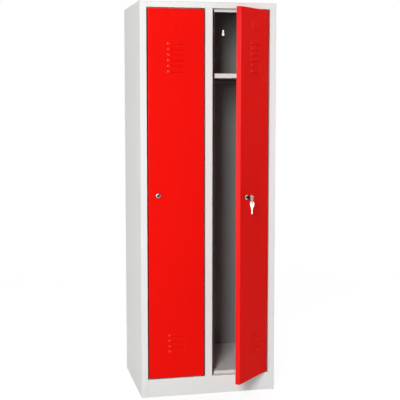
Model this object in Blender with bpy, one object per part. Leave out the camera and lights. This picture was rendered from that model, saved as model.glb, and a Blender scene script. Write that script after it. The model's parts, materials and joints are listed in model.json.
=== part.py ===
"""Two door clothes locker: a folded sheet steel cabinet with two hinged, louvred doors.

Metres, +Z up. X runs across the front, the doors face -Y, and the origin lies on the floor
under the middle of the cabinet. The left door is shut and the right door stands open.
"""

import math

import bmesh
import bpy
from mathutils import Vector

# Cabinet
WIDTH = 0.630
DEPTH = 0.500
HEIGHT = 1.800
SHEET = 0.001
BEND = 0.002  # outer radius of a fold
SEAT = 0.0003  # gap between two pieces that touch

# Front frame
UPRIGHT_FACE = 0.030
POST_FACE = 0.033
TOP_FACE = 0.028
PLINTH_FACE = 0.083
STOP_LIP = 0.0135  # how far a stop stands into a door opening
STOP_LEG = 0.015
STOP_CLEAR = 0.0005  # shut door to its buffer
BUFFER_THICK = 0.002
BUFFER_MARGIN = 0.001
FOOT_FLANGE = 0.020
REAR_FLANGE = 0.015
BACK_INSET = 0.003

# Inside
FLOOR_LIP = 0.030
PLINTH_BEAM_WIDTH = 0.040
SHELF_HEIGHT = 1.4815
SHELF_SETBACK = 0.040
SHELF_LIP = 0.021
BEARER_LEG = 0.014
BEARER_MARGIN = 0.030
RAIL_RADIUS = 0.009
RAIL_WALL = 0.0012
RAIL_DROP = 0.0315  # shelf top to rail axis
SOCKET_FLANGE_RADIUS = 0.015
SOCKET_FLANGE_THICK = 0.0025
SOCKET_WALL = 0.0025
SOCKET_DEPTH = 0.009
HOOK_WIRE_RADIUS = 0.0022
HOOK_CLEAR = 0.0005
HOOK_DROP = 0.034
HOOK_BEND = 0.014
HOOK_LOOP_ANGLE = 285.0
HOOK_TIP_ANGLE = 200.0
HOOK_STATIONS = (0.065, 0.235)  # from the left wall of a compartment

# Wall fixing
KEYHOLE_OFFSET = 0.188  # either side of the middle
KEYHOLE_DROP = 0.112  # cabinet top to the round hole
KEYHOLE_RADIUS = 0.0065
KEYHOLE_SLOT = 0.0075
KEYHOLE_RISE = 0.0235

# Doors
DOOR_GAP = 0.003
DOOR_THICK = 0.0235
DOOR_SHEET = 0.001
DOOR_LIP = 0.012
PIVOT_INSET = 0.009  # hinge edge to pivot axis
PIVOT_DEPTH = 0.006  # door face to pivot axis
RIGHT_OPEN = 45.5  # degrees
STIFFENER_WIDTH = 0.044
STIFFENER_DEPTH = 0.014
STIFFENER_FLANGE = 0.012
STIFFENER_MARGIN = 0.040
LOUVRE_LENGTH = 0.086
LOUVRE_HEIGHT = 0.011
LOUVRE_RISE = 0.005
LOUVRE_CREST = 0.002
LOUVRE_END = 0.006
LOUVRE_PITCH = 0.025
UPPER_LOUVRES = 6
LOWER_LOUVRES = 4
UPPER_LOUVRE_DROP = 0.152  # door top to the first louvre
LOWER_LOUVRE_LIFT = 0.125  # door bottom to the last louvre
LABEL_WIDTH = 0.050
LABEL_HEIGHT = 0.036
LABEL_DROP = 0.076
LABEL_BAR = 0.0035
LABEL_RISE = 0.0014

# Hinges
PIN_RADIUS = 0.003
PIN_RUN = 0.0001  # running clearance in the bush
PIN_HEAD_RADIUS = 0.0042
PIN_HEAD_THICK = 0.002
PIN_SHOULDER = 0.001
BUSH_WALL = 0.0013
BUSH_FLANGE_RADIUS = 0.0053
BUSH_FLANGE_THICK = 0.001
BUSH_LENGTH = 0.010

# Locks, measured along the lock axis from the door face
LOCK_INSET = 0.047
LOCK_HEIGHT = 0.931
COLLAR_RADIUS = 0.0115
COLLAR_LENGTH = 0.009
COLLAR_CHAMFER = 0.002
BARREL_RADIUS = 0.009
PLUG_RADIUS = 0.006
PLUG_HEAD_RADIUS = 0.0075
PLUG_HEAD_LENGTH = 0.005
PLUG_RECESS = 0.0006
PLUG_RUN = 0.0002
TAIL_SIZE = 0.007
NUT_RADIUS = 0.0135
NUT_THICK = 0.004
CAM_WIDTH = 0.016
CAM_THICK = 0.0025
CAM_CLEAR = 0.001
CAM_TIP_CLEAR = 0.004
CAM_SCREW_RADIUS = 0.002
CAM_SCREW_HEAD_RADIUS = 0.0052
CAM_SCREW_HEAD_THICK = 0.003
CAM_SCREW_LENGTH = 0.008

# Keys, measured along the key from its shoulder
KEY_THICK = 0.002
KEY_BLADE_LENGTH = 0.028
KEY_BLADE_WIDTH = 0.0078
KEY_NECK = 0.003  # plug face to the shoulder of a key pushed home
KEY_BOW_LENGTH = 0.030
KEY_BOW_WIDTH = 0.024
KEY_HOLE_RADIUS = 0.0036
KEY_HOLE_EDGE = 0.0075  # bow end to hole centre
KEYWAY_CLEAR = 0.0004
RING_RADIUS = 0.0095
RING_WIRE_RADIUS = 0.0009

# Facets
ROUND_STEPS = 24
WIRE_STEPS = 8
BEND_STEPS = 3
BOW_STEPS = 18
ARC_STEP = 18.0

FRONT = -DEPTH / 2
BACK = DEPTH / 2
LEFT = -WIDTH / 2
WELD = 1e-6
REACH_PAST = 0.002  # how far a cutter runs past the face that it cuts

# Depths and heights that several pieces share
stop_depth = DOOR_THICK + STOP_CLEAR + BUFFER_THICK + SEAT
rear_stop_depth = stop_depth + SHEET + SEAT
return_depth = stop_depth - BEND
lid_underside = HEIGHT - SHEET - SEAT
rear_face = BACK - SHEET - SEAT
inner_rear = rear_face - BEND - SEAT
opening_bottom = PLINTH_FACE
opening_top = HEIGHT - TOP_FACE
opening_width = (WIDTH - 2 * UPRIGHT_FACE - POST_FACE) / 2
floor_top = PLINTH_FACE + STOP_LIP
door_width = opening_width - 2 * DOOR_GAP
door_bottom = opening_bottom + DOOR_GAP
door_top = opening_top - DOOR_GAP
rail_height = SHELF_HEIGHT - RAIL_DROP
compartment_width = WIDTH / 2 - 1.5 * SHEET
compartment_left = {"left": LEFT + SHEET, "right": SHEET / 2}
lock_side = {"left": LEFT + UPRIGHT_FACE, "right": POST_FACE / 2}
cam_face = stop_depth + SHEET + CAM_CLEAR
lock_back = cam_face - SEAT
tail_end = cam_face + CAM_THICK + SEAT
key_shoulder = COLLAR_LENGTH - PLUG_RECESS + KEY_NECK
key_hole = key_shoulder + KEY_BOW_LENGTH - KEY_HOLE_EDGE
ring_slack = KEY_HOLE_RADIUS - RING_WIRE_RADIUS - SEAT


def clear_scene():
    for item in list(bpy.data.objects):
        bpy.data.objects.remove(item, do_unlink=True)


def finish(name, colour, roughness, metallic):
    """Principled material of one paint or metal."""
    material = bpy.data.materials.new(name)
    material.use_nodes = True
    shader = material.node_tree.nodes["Principled BSDF"]
    shader.inputs["Base Color"].default_value = (*colour, 1.0)
    shader.inputs["Roughness"].default_value = roughness
    shader.inputs["Metallic"].default_value = metallic
    return material


def link(name, data, parent=None, location=(0, 0, 0), rotation=(0, 0, 0)):
    """Object at a place given in its parent's frame, turned by degrees."""
    item = bpy.data.objects.new(name, data)
    bpy.context.scene.collection.objects.link(item)
    item.parent = parent
    item.location = location
    item.rotation_euler = [math.radians(angle) for angle in rotation]
    return item


def piece(name, shape, material, parent=None, location=(0, 0, 0), rotation=(0, 0, 0)):
    """One solid part of the locker, made from a bmesh."""
    mesh = bpy.data.meshes.new(name)
    shape.to_mesh(mesh)
    shape.free()
    mesh.shade_smooth()
    mesh.set_sharp_from_angle(angle=math.radians(35))
    mesh.materials.append(material)
    return link(name, mesh, parent, location, rotation)


def boolean(target, operation, name, shape, parent=None, location=(0, 0, 0), rotation=(0, 0, 0)):
    """Cuts a hidden helper solid out of the target, or joins it on."""
    mesh = bpy.data.meshes.new(name)
    shape.to_mesh(mesh)
    shape.free()
    helper = link(name, mesh, parent, location, rotation)
    helper.hide_render = True
    helper.display_type = "WIRE"
    modifier = target.modifiers.new(name, "BOOLEAN")
    modifier.operation = operation
    modifier.solver = "EXACT"
    modifier.object = helper


def folded_sheet(path, thickness=SHEET):
    """Outline of a sheet with square folds: one face follows the path, the other lies to its left."""
    points = [Vector(point) for point in path]
    headings = [(b - a).normalized() for a, b in zip(points, points[1:])]
    face = [points[0]]
    back = [points[0] + left_of(headings[0]) * thickness]
    for corner, heading, after in zip(points[1:], headings, headings[1:]):
        side = 1 if heading.cross(after) > 0 else -1
        radius = BEND if side > 0 else BEND - thickness
        inward = left_of(heading) * side
        centre = corner + (inward - heading) * radius
        start = math.atan2(-inward.y, -inward.x)
        for step in range(BEND_STEPS + 1):
            angle = start + side * math.pi / 2 * step / BEND_STEPS
            spoke = Vector((math.cos(angle), math.sin(angle)))
            face.append(centre + spoke * radius)
            back.append(centre + spoke * (radius - side * thickness))
    face.append(points[-1])
    back.append(points[-1] + left_of(headings[-1]) * thickness)
    return face + back[::-1]


def left_of(heading):
    return Vector((-heading.y, heading.x))


def mirrored(path):
    """The same path on the other side of the cabinet, walked so that its left side stays inside."""
    return [(-x, y) for x, y in reversed(path)]


def prism(outline, length, axis):
    """Outline swept along an axis; it is drawn in the other two axes, in their order."""
    places = {
        "X": lambda a, b: (0, a, b),
        "Y": lambda a, b: (a, 0, b),
        "Z": lambda a, b: (a, b, 0),
    }
    sweep = {"X": (length, 0, 0), "Y": (0, length, 0), "Z": (0, 0, length)}
    shape = bmesh.new()
    base = shape.faces.new([shape.verts.new(places[axis](a, b)) for a, b in outline])
    swept = bmesh.ops.extrude_face_region(shape, geom=[base])["geom"]
    moved = [item for item in swept if isinstance(item, bmesh.types.BMVert)]
    bmesh.ops.translate(shape, verts=moved, vec=sweep[axis])
    bmesh.ops.recalc_face_normals(shape, faces=shape.faces)
    return shape


def rectangle(low, high):
    return [(low[0], low[1]), (high[0], low[1]), (high[0], high[1]), (low[0], high[1])]


def polygon(radius, sides, turn=0.0):
    angles = [turn + 2 * math.pi * side / sides for side in range(sides)]
    return [(radius * math.cos(angle), radius * math.sin(angle)) for angle in angles]


def turned(profile, closed=False):
    """Solid of revolution about Z from (radius, height) points."""
    shape = bmesh.new()
    points = [shape.verts.new((radius, 0, height)) for radius, height in profile]
    ends = points[1:] + points[:1] if closed else points[1:]
    edges = [shape.edges.new(pair) for pair in zip(points, ends)]
    bmesh.ops.spin(
        shape,
        geom=points + edges,
        axis=(0, 0, 1),
        cent=(0, 0, 0),
        angle=2 * math.pi,
        steps=ROUND_STEPS,
    )
    bmesh.ops.remove_doubles(shape, verts=shape.verts, dist=WELD)
    bmesh.ops.recalc_face_normals(shape, faces=shape.faces)
    return shape


def loft(shape, rings):
    """Closed body through upright rectangles, each (x low, x high, z low, z high, y)."""
    loops = [
        [shape.verts.new((x, y, z)) for x, z in rectangle((x0, z0), (x1, z1))]
        for x0, x1, z0, z1, y in rings
    ]
    faces = [shape.faces.new(loops[0]), shape.faces.new(loops[-1])]
    for near, far in zip(loops, loops[1:]):
        for side in range(4):
            after = (side + 1) % 4
            faces.append(shape.faces.new((near[side], near[after], far[after], far[side])))
    bmesh.ops.recalc_face_normals(shape, faces=faces)


def tube(name, points, radius, material, parent, location):
    """Round wire through points."""
    curve = bpy.data.curves.new(name, "CURVE")
    curve.dimensions = "3D"
    curve.bevel_depth = radius
    curve.bevel_resolution = 2
    curve.use_fill_caps = True
    spline = curve.splines.new("POLY")
    spline.points.add(len(points) - 1)
    for target, point in zip(spline.points, points):
        target.co = (*point, 1.0)
    spline.use_smooth = True
    curve.materials.append(material)
    return link(name, curve, parent, location)


def arc(centre, radius, start, end):
    """Points from one angle to another, in degrees, on a circle."""
    steps = math.ceil(abs(end - start) / ARC_STEP)
    angles = [math.radians(start + (end - start) * step / steps) for step in range(steps + 1)]
    return [
        (centre[0] + radius * math.cos(angle), centre[1] + radius * math.sin(angle))
        for angle in angles
    ]


def side_panels(paint):
    """Side sheets, each folded at the front into an upright and at the rear into a flange."""
    path = [
        (LEFT + REAR_FLANGE, rear_face),
        (LEFT, rear_face),
        (LEFT, FRONT),
        (LEFT + UPRIGHT_FACE, FRONT),
        (LEFT + UPRIGHT_FACE, FRONT + return_depth),
    ]
    for name, line in (("left_side_panel", path), ("right_side_panel", mirrored(path))):
        piece(name, prism(folded_sheet(line), lid_underside, "Z"), paint)


def centre_post(paint):
    half = POST_FACE / 2
    path = [
        (-half, FRONT + return_depth),
        (-half, FRONT),
        (half, FRONT),
        (half, FRONT + return_depth),
    ]
    length = opening_top - opening_bottom - 2 * SEAT
    shape = prism(folded_sheet(path), length, "Z")
    piece("centre_post", shape, paint, location=(0, 0, opening_bottom + SEAT))


def door_stops(paint, rubber):
    """Angle strips inside the lock side of each opening, faced with a rubber buffer."""
    bottom = opening_bottom + SEAT
    length = opening_top - opening_bottom - 2 * SEAT
    for side, edge in lock_side.items():
        face = FRONT + stop_depth
        corner = edge - 2 * SHEET - SEAT
        path = [
            (edge + STOP_LIP, face + SHEET),
            (corner, face + SHEET),
            (corner, face + SHEET - STOP_LEG),
        ]
        shape = prism(folded_sheet(path), length, "Z")
        piece(f"{side}_door_stop", shape, paint, location=(0, 0, bottom))
        low = (edge + BUFFER_MARGIN, face - SEAT - BUFFER_THICK)
        high = (edge + STOP_LIP - BUFFER_MARGIN, face - SEAT)
        strip = prism(rectangle(low, high), length - 2 * BUFFER_MARGIN, "Z")
        piece(f"{side}_door_buffer", strip, rubber, location=(0, 0, bottom + BUFFER_MARGIN))


def pivot_places():
    """Pivot axis of each door in plan."""
    return {
        side: (edge + opening_width - DOOR_GAP - PIVOT_INSET, FRONT + PIVOT_DEPTH)
        for side, edge in lock_side.items()
    }


def pin_holes(target, height):
    """Holes for the hinge pins through a folded rail."""
    for side, (x, y) in pivot_places().items():
        drill = prism(polygon(PIN_RADIUS + SEAT, ROUND_STEPS), 2 * REACH_PAST, "Z")
        name = f"{target.name}_{side}_pin_hole"
        boolean(target, "DIFFERENCE", name, drill, location=(x, y, height - REACH_PAST))


def front_rails(paint):
    """Top rail with its stop lip, and plinth rail with its foot flange."""
    start = LEFT + UPRIGHT_FACE + SEAT
    length = WIDTH - 2 * (UPRIGHT_FACE + SEAT)
    stop = FRONT + rear_stop_depth
    top_path = [
        (stop + SHEET, lid_underside),
        (FRONT, lid_underside),
        (FRONT, opening_top),
        (stop, opening_top),
        (stop, opening_top - STOP_LIP),
    ]
    shape = prism(folded_sheet(top_path), length, "X")
    rail = piece("top_rail", shape, paint, location=(start, 0, 0))
    pin_holes(rail, opening_top + SHEET / 2)
    plinth_path = [
        (stop - SEAT, PLINTH_FACE),
        (FRONT, PLINTH_FACE),
        (FRONT, 0),
        (FRONT + FOOT_FLANGE, 0),
    ]
    shape = prism(folded_sheet(plinth_path), length, "X")
    rail = piece("plinth_rail", shape, paint, location=(start, 0, 0))
    pin_holes(rail, opening_bottom - SHEET / 2)


def top_panel(paint):
    shape = prism(rectangle((LEFT, FRONT), (-LEFT, BACK)), SHEET, "Z")
    piece("top_panel", shape, paint, location=(0, 0, HEIGHT - SHEET))


def back_panel(paint):
    """Rear sheet with two keyhole slots for hanging it on wall screws."""
    low = (LEFT + BACK_INSET, 0)
    shape = prism(rectangle(low, (-low[0], lid_underside)), SHEET, "Y")
    panel = piece("back_panel", shape, paint, location=(0, BACK - SHEET, 0))
    for side, x in (("left", -KEYHOLE_OFFSET), ("right", KEYHOLE_OFFSET)):
        half = KEYHOLE_SLOT / 2
        shoulder = math.degrees(math.asin(half / KEYHOLE_RADIUS))
        outline = arc((0, 0), KEYHOLE_RADIUS, 90 + shoulder, 450 - shoulder)
        outline += arc((0, KEYHOLE_RISE - half), half, 0, 180)
        place = (x, BACK - SHEET - REACH_PAST, HEIGHT - KEYHOLE_DROP)
        cutter = prism(outline, SHEET + 2 * REACH_PAST, "Y")
        boolean(panel, "DIFFERENCE", f"{side}_keyhole", cutter, location=place)


def raised_floor(paint):
    """Floor sheet with front and rear lips, and the beam that carries its middle."""
    start = LEFT + SHEET + SEAT
    stop = FRONT + rear_stop_depth
    path = [
        (inner_rear, floor_top - FLOOR_LIP),
        (inner_rear, floor_top),
        (stop, floor_top),
        (stop, floor_top - FLOOR_LIP),
    ]
    shape = prism(folded_sheet(path), -2 * start, "X")
    piece("floor_panel", shape, paint, location=(start, 0, 0))
    half = PLINTH_BEAM_WIDTH / 2
    top = floor_top - SHEET - SEAT
    beam = folded_sheet([(-half, top), (-half, 0), (half, 0), (half, top)])
    near = stop + SHEET + SEAT
    far = inner_rear - SHEET - SEAT
    piece("plinth_beam", prism(beam, far - near, "Y"), paint, location=(0, near, 0))


def centre_partition(paint):
    """Wall between the compartments, notched round the top rail."""
    near = FRONT + SHEET + SEAT
    notch = FRONT + rear_stop_depth + SHEET + SEAT
    far = BACK - SHEET - SEAT
    bottom = floor_top + SEAT
    notch_top = opening_top - STOP_LIP - SEAT
    outline = [
        (near, bottom),
        (far, bottom),
        (far, lid_underside),
        (notch, lid_underside),
        (notch, notch_top),
        (near, notch_top),
    ]
    piece("centre_partition", prism(outline, SHEET, "X"), paint, location=(-SHEET / 2, 0, 0))


def hat_shelves(paint):
    """A shelf in each compartment, laid on an angle bearer at either wall."""
    front = FRONT + SHELF_SETBACK
    path = [
        (inner_rear, SHELF_HEIGHT - SHELF_LIP),
        (inner_rear, SHELF_HEIGHT),
        (front, SHELF_HEIGHT),
        (front, SHELF_HEIGHT - SHELF_LIP),
    ]
    top = SHELF_HEIGHT - SHEET - SEAT
    corner = SEAT
    angle = [(corner + BEARER_LEG, top), (corner, top), (corner, top - BEARER_LEG)]
    near = front + BEARER_MARGIN
    length = inner_rear - BEARER_MARGIN - near
    for side, wall in compartment_left.items():
        shape = prism(folded_sheet(path), compartment_width - 2 * SEAT, "X")
        piece(f"{side}_hat_shelf", shape, paint, location=(wall + SEAT, 0, 0))
        shape = prism(folded_sheet(angle), length, "Y")
        piece(f"{side}_shelf_bearer_a", shape, paint, location=(wall, near, 0))
        shape = prism(folded_sheet(mirrored(angle)), length, "Y")
        place = (wall + compartment_width, near, 0)
        piece(f"{side}_shelf_bearer_b", shape, paint, location=place)


def coat_rails(chrome, zinc):
    """A tube across each compartment in two wall sockets, with sliding hooks on it."""
    socket = [
        (0, 0),
        (SOCKET_FLANGE_RADIUS, 0),
        (SOCKET_FLANGE_RADIUS, SOCKET_FLANGE_THICK),
        (RAIL_RADIUS + SEAT + SOCKET_WALL, SOCKET_FLANGE_THICK),
        (RAIL_RADIUS + SEAT + SOCKET_WALL, SOCKET_DEPTH),
        (RAIL_RADIUS + SEAT, SOCKET_DEPTH),
        (RAIL_RADIUS + SEAT, SOCKET_FLANGE_THICK),
        (0, SOCKET_FLANGE_THICK),
    ]
    end = 2 * SEAT + SOCKET_FLANGE_THICK
    length = compartment_width - 2 * end
    bore = RAIL_RADIUS - RAIL_WALL
    pipe = [(RAIL_RADIUS, 0), (RAIL_RADIUS, length), (bore, length), (bore, 0)]
    for side, wall in compartment_left.items():
        far = wall + compartment_width
        near_end = (wall + SEAT, 0, rail_height)
        far_end = (far - SEAT, 0, rail_height)
        piece(f"{side}_rail_socket_a", turned(socket), zinc, None, near_end, (0, 90, 0))
        piece(f"{side}_rail_socket_b", turned(socket), zinc, None, far_end, (0, -90, 0))
        tube_start = (wall + end, 0, rail_height)
        piece(f"{side}_coat_rail", turned(pipe, True), chrome, None, tube_start, (0, 90, 0))
        for station, letter in zip(HOOK_STATIONS, "ab"):
            coat_hook(f"{side}_coat_hook_{letter}", wall + station, zinc)


def coat_hook(name, x, zinc):
    """Wire hook: an open loop round the rail, a straight shank and a J under the rail."""
    loop = RAIL_RADIUS + HOOK_CLEAR + HOOK_WIRE_RADIUS
    path = arc((0, 0), loop, HOOK_LOOP_ANGLE, 0)
    path += arc((loop - HOOK_BEND, -HOOK_DROP), HOOK_BEND, 0, -HOOK_TIP_ANGLE)
    points = [(0, y, z) for y, z in path]
    tube(name, points, HOOK_WIRE_RADIUS, zinc, None, (x, 0, rail_height))


def door(side, angle, paints):
    """One door, its inner stiffener, hinge pins and bushes, and its lock, in the pivot's frame."""
    x, y = pivot_places()[side]
    hinge = link(f"{side}_door_hinge", None, None, (x, y, 0), (0, 0, angle))
    door_panel(side, hinge, paints["red"])
    stiffener(side, hinge, paints["red"])
    hinge_hardware(side, hinge, paints)
    free_edge = PIVOT_INSET - door_width
    place = (free_edge + LOCK_INSET, -PIVOT_DEPTH, LOCK_HEIGHT)
    # In the lock's frame +X keeps the door's direction, +Y is up and +Z points out of the door.
    lock = link(f"{side}_lock_axis", None, hinge, place, (90, 0, 0))
    door_lock(side, lock, paints)
    return lock


def door_panel(side, hinge, red):
    """Folded tray with pressed louvres and a pressed label frame."""
    low_x = PIVOT_INSET - door_width
    high_x = PIVOT_INSET
    face = -PIVOT_DEPTH
    back = face + DOOR_THICK
    wall = DOOR_SHEET

    def ring(inset, y):
        return (low_x + inset, high_x - inset, door_bottom + inset, door_top - inset, y)

    edge = [math.pi / 2 * step / BEND_STEPS for step in range(BEND_STEPS + 1)]
    rounded = [ring(BEND * (1 - math.sin(a)), face + BEND * (1 - math.cos(a))) for a in edge]
    rings = rounded + [
        ring(0, back),
        ring(DOOR_LIP, back),
        ring(DOOR_LIP, back - wall),
        ring(wall, back - wall),
        ring(wall, face + wall),
    ]
    shape = bmesh.new()
    loft(shape, rings)
    panel = piece(f"{side}_door_panel", shape, red, hinge)

    middle = (low_x + high_x) / 2
    raised = bmesh.new()
    slits = bmesh.new()
    for z in louvre_heights():
        louvre(raised, slits, middle, z, face)
    boolean(panel, "UNION", f"{side}_louvre_hoods", raised, hinge)
    boolean(panel, "DIFFERENCE", f"{side}_louvre_slits", slits, hinge)
    boolean(panel, "UNION", f"{side}_label_frame", label_frame(middle, face), hinge)

    seat = BUSH_WALL + PIN_RUN + PIN_RADIUS + SEAT
    for end, z in (("upper", door_top), ("lower", door_bottom)):
        drill = prism(polygon(seat, ROUND_STEPS), 2 * REACH_PAST, "Z")
        name = f"{side}_{end}_bush_hole"
        boolean(panel, "DIFFERENCE", name, drill, hinge, (0, 0, z - REACH_PAST))
    hole = prism(polygon(BARREL_RADIUS + SEAT, ROUND_STEPS), wall + 2 * REACH_PAST, "Y")
    place = (low_x + LOCK_INSET, face - REACH_PAST, LOCK_HEIGHT)
    boolean(panel, "DIFFERENCE", f"{side}_lock_hole", hole, hinge, place)


def louvre_heights():
    upper = [door_top - UPPER_LOUVRE_DROP - LOUVRE_PITCH * row for row in range(UPPER_LOUVRES)]
    lower = [door_bottom + LOWER_LOUVRE_LIFT + LOUVRE_PITCH * row for row in range(LOWER_LOUVRES)]
    return upper + lower


def louvre(raised, slits, x, z, face):
    """Hood pressed out of the sheet with its mouth downwards, and the slit inside it."""
    half = LOUVRE_LENGTH / 2
    foot = z - LOUVRE_HEIGHT / 2
    head = z + LOUVRE_HEIGHT / 2
    lip = foot + LOUVRE_CREST
    wall = DOOR_SHEET
    near = half - LOUVRE_END
    loft(
        raised,
        [
            (x - half, x + half, foot, head, face + wall / 2),
            (x - half, x + half, foot, head, face),
            (x - near, x + near, foot, lip, face - LOUVRE_RISE),
        ],
    )
    half -= wall
    near -= wall
    foot -= wall / 2
    loft(
        slits,
        [
            (x - half, x + half, foot, head - wall, face + wall + REACH_PAST),
            (x - half, x + half, foot, head - wall, face),
            (x - near, x + near, foot, lip - wall / 2, face - LOUVRE_RISE + wall),
        ],
    )


def label_frame(x, face):
    """Raised channel, open at the top, that holds a name card."""
    half = LABEL_WIDTH / 2
    bottom = door_top - LABEL_DROP - LABEL_HEIGHT / 2
    top = bottom + LABEL_HEIGHT
    outline = [
        (x - half, bottom),
        (x + half, bottom),
        (x + half, top),
        (x + half - LABEL_BAR, top),
        (x + half - LABEL_BAR, bottom + LABEL_BAR),
        (x - half + LABEL_BAR, bottom + LABEL_BAR),
        (x - half + LABEL_BAR, top),
        (x - half, top),
    ]
    shape = prism(outline, LABEL_RISE + DOOR_SHEET / 2, "Y")
    bmesh.ops.translate(shape, verts=shape.verts, vec=(0, face - LABEL_RISE, 0))
    return shape


def stiffener(side, hinge, red):
    """Hat channel behind the door sheet, between the two groups of louvres."""
    middle = PIVOT_INSET - door_width / 2
    half = STIFFENER_WIDTH / 2
    foot = half + STIFFENER_FLANGE
    seat = DOOR_SHEET + SEAT - PIVOT_DEPTH
    crest = seat + STIFFENER_DEPTH
    path = [
        (middle + foot, seat),
        (middle + half, seat),
        (middle + half, crest),
        (middle - half, crest),
        (middle - half, seat),
        (middle - foot, seat),
    ]
    heights = sorted(louvre_heights())
    bottom = heights[LOWER_LOUVRES - 1] + STIFFENER_MARGIN
    top = heights[LOWER_LOUVRES] - STIFFENER_MARGIN
    shape = prism(folded_sheet(path[::-1]), top - bottom, "Z")
    piece(f"{side}_door_stiffener", shape, red, hinge, (0, 0, bottom))


def hinge_hardware(side, hinge, paints):
    """Riveted pivot pins in the rails and flanged bushes in the door, top and bottom."""
    gap = DOOR_GAP
    seat = SHEET / 2 + SEAT
    reach = SHEET / 2 + gap + BUSH_LENGTH
    # Heights here run from the middle of the rail's sheet towards the door.
    pin = [
        (0, -seat - PIN_HEAD_THICK),
        (PIN_HEAD_RADIUS, -seat - PIN_HEAD_THICK),
        (PIN_HEAD_RADIUS, -seat),
        (PIN_RADIUS, -seat),
        (PIN_RADIUS, seat),
        (PIN_HEAD_RADIUS, seat),
        (PIN_HEAD_RADIUS, seat + PIN_SHOULDER),
        (PIN_RADIUS, seat + PIN_SHOULDER),
        (PIN_RADIUS, reach),
        (0, reach),
    ]
    bore = PIN_RADIUS + PIN_RUN
    outer = bore + BUSH_WALL
    foot = SHEET / 2 + gap - SEAT
    flange = foot - BUSH_FLANGE_THICK
    bush = [
        (bore, flange),
        (BUSH_FLANGE_RADIUS, flange),
        (BUSH_FLANGE_RADIUS, foot),
        (outer, foot),
        (outer, foot + BUSH_LENGTH),
        (bore, foot + BUSH_LENGTH),
    ]
    x, y = pivot_places()[side]
    ends = (
        ("upper", opening_top + SHEET / 2, 180),
        ("lower", opening_bottom - SHEET / 2, 0),
    )
    for end, z, turn in ends:
        piece(f"{side}_{end}_hinge_pin", turned(pin), paints["zinc"], None, (x, y, z), (turn, 0, 0))
        shape = turned(bush, True)
        piece(f"{side}_{end}_hinge_bush", shape, paints["nylon"], hinge, (0, 0, z), (turn, 0, 0))


def door_lock(side, lock, paints):
    """Cylinder lock: housing and nut on the door, and the plug, cam and screw that turn."""
    bore = PLUG_RADIUS + PLUG_RUN
    mouth = PLUG_HEAD_RADIUS + PLUG_RUN
    ledge = COLLAR_LENGTH - PLUG_HEAD_LENGTH
    housing = [
        (mouth, COLLAR_LENGTH),
        (COLLAR_RADIUS - COLLAR_CHAMFER, COLLAR_LENGTH),
        (COLLAR_RADIUS, COLLAR_LENGTH - COLLAR_CHAMFER),
        (COLLAR_RADIUS, SEAT),
        (BARREL_RADIUS, SEAT),
        (BARREL_RADIUS, -lock_back),
        (bore, -lock_back),
        (bore, ledge),
        (mouth, ledge),
    ]
    piece(f"{side}_lock_housing", turned(housing, True), paints["chrome"], lock)

    nut_front = -DOOR_SHEET - SEAT
    nut = prism(polygon(NUT_RADIUS, 6), NUT_THICK, "Z")
    nut = piece(f"{side}_lock_nut", nut, paints["zinc"], lock, (0, 0, nut_front - NUT_THICK))
    hole = prism(polygon(BARREL_RADIUS + SEAT, ROUND_STEPS), NUT_THICK + 2 * REACH_PAST, "Z")
    place = (0, 0, nut_front - NUT_THICK - REACH_PAST)
    boolean(nut, "DIFFERENCE", f"{side}_nut_hole", hole, lock, place)

    lock_plug(side, lock, ledge, paints["chrome"])
    lock_cam(side, lock, paints["zinc"])


def lock_plug(side, lock, ledge, chrome):
    """Turning cylinder with its keyway, square tail and screw hole."""
    face = COLLAR_LENGTH - PLUG_RECESS
    profile = [
        (0, face),
        (PLUG_HEAD_RADIUS, face),
        (PLUG_HEAD_RADIUS, ledge + PLUG_RUN),
        (PLUG_RADIUS, ledge + PLUG_RUN),
        (PLUG_RADIUS, -lock_back),
        (0, -lock_back),
    ]
    plug = piece(f"{side}_lock_plug", turned(profile), chrome, lock)
    half = TAIL_SIZE / 2
    tail = prism(rectangle((-half, -half), (half, half)), tail_end - lock_back + REACH_PAST, "Z")
    boolean(plug, "UNION", f"{side}_plug_tail", tail, lock, (0, 0, -tail_end))
    wide = KEY_THICK / 2 + KEYWAY_CLEAR
    high = KEY_BLADE_WIDTH / 2 + KEYWAY_CLEAR
    depth = KEY_BLADE_LENGTH - KEY_NECK + REACH_PAST
    keyway = prism(rectangle((-wide, -high), (wide, high)), depth + REACH_PAST, "Z")
    boolean(plug, "DIFFERENCE", f"{side}_keyway", keyway, lock, (0, 0, face - depth))
    drill = prism(
        polygon(CAM_SCREW_RADIUS + SEAT, ROUND_STEPS), CAM_SCREW_LENGTH + 2 * REACH_PAST, "Z"
    )
    boolean(plug, "DIFFERENCE", f"{side}_tail_hole", drill, lock, (0, 0, -tail_end - REACH_PAST))


def lock_cam(side, lock, zinc):
    """Bar that turns behind the door stop, parked upright, and the screw that holds it."""
    reach = DOOR_GAP + LOCK_INSET - CAM_TIP_CLEAR
    half = CAM_WIDTH / 2
    outline = arc((0, 0), half, 180, 360) + arc((0, reach - half), half, 0, 180)
    cam = prism(outline, CAM_THICK, "Z")
    back = -cam_face - CAM_THICK
    cam = piece(f"{side}_lock_cam", cam, zinc, lock, (0, 0, back))
    size = TAIL_SIZE / 2 + SEAT
    hole = prism(rectangle((-size, -size), (size, size)), CAM_THICK + 2 * REACH_PAST, "Z")
    boolean(cam, "DIFFERENCE", f"{side}_cam_hole", hole, lock, (0, 0, back - REACH_PAST))
    seat = -tail_end - SEAT
    screw = [
        (0, seat - CAM_SCREW_HEAD_THICK),
        (CAM_SCREW_HEAD_RADIUS, seat - CAM_SCREW_HEAD_THICK),
        (CAM_SCREW_HEAD_RADIUS, seat),
        (CAM_SCREW_RADIUS, seat),
        (CAM_SCREW_RADIUS, seat + CAM_SCREW_LENGTH),
        (0, seat + CAM_SCREW_LENGTH),
    ]
    piece(f"{side}_cam_screw", turned(screw), zinc, lock)


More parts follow.
